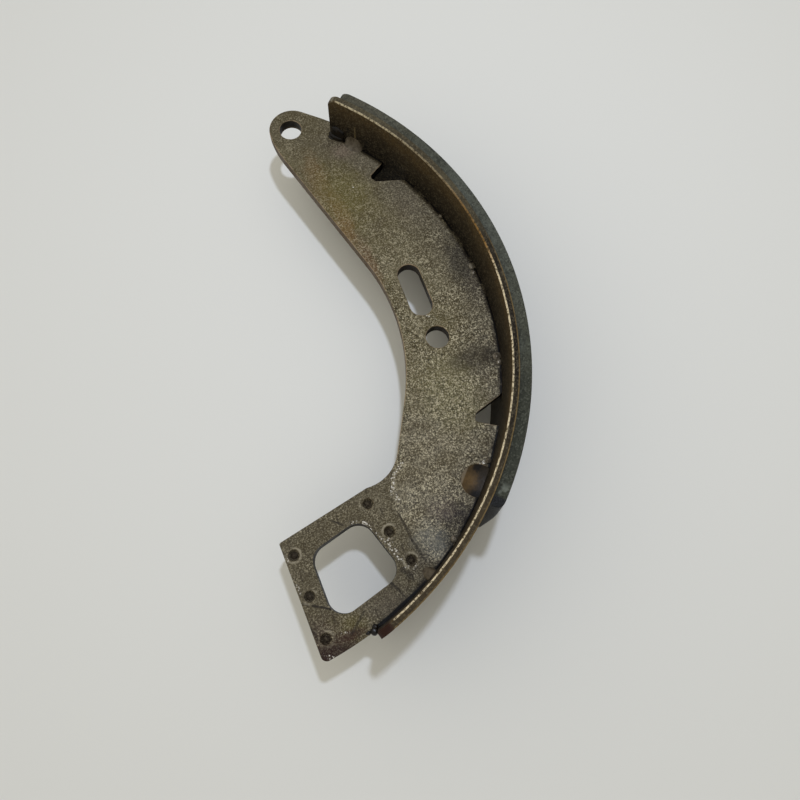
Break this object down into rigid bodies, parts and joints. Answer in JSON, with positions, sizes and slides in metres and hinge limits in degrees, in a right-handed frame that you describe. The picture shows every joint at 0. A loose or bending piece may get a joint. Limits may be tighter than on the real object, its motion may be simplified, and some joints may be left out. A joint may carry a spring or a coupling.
{
  "type": "drum brake shoe",
  "caption": "Curved drum brake shoe: notched web with an anchor eye at one end and a windowed square end, welded inside a rim that carries a bonded lining.",
  "frame": {"origin": "on the drum's axis, in the plane of the rim's lower edge, on which the shoe lies", "axes": "+Z along the drum's axis, square to the web, towards the side with the weld dimples; +X from the drum's axis through the slot at the middle of the shoe; +Y towards the anchor eye"},
  "size_m": [0.1169, 0.2217, 0.0485],
  "materials": {
    "web_steel": "satin",
    "rim_steel": "satin",
    "doubler_steel": "satin",
    "weld_metal": "satin",
    "friction_lining": "matte"
  },
  "bodies": {
    "root": {"web": "web_steel", "rim": "rim_steel", "lining": "friction_lining", "end_doubler": "doubler_steel", "scallop_weld": "weld_metal", "fillet_welds": "weld_metal", "end_tacks": "weld_metal", "weld_drops": "weld_metal"}
  },
  "joints": []
}
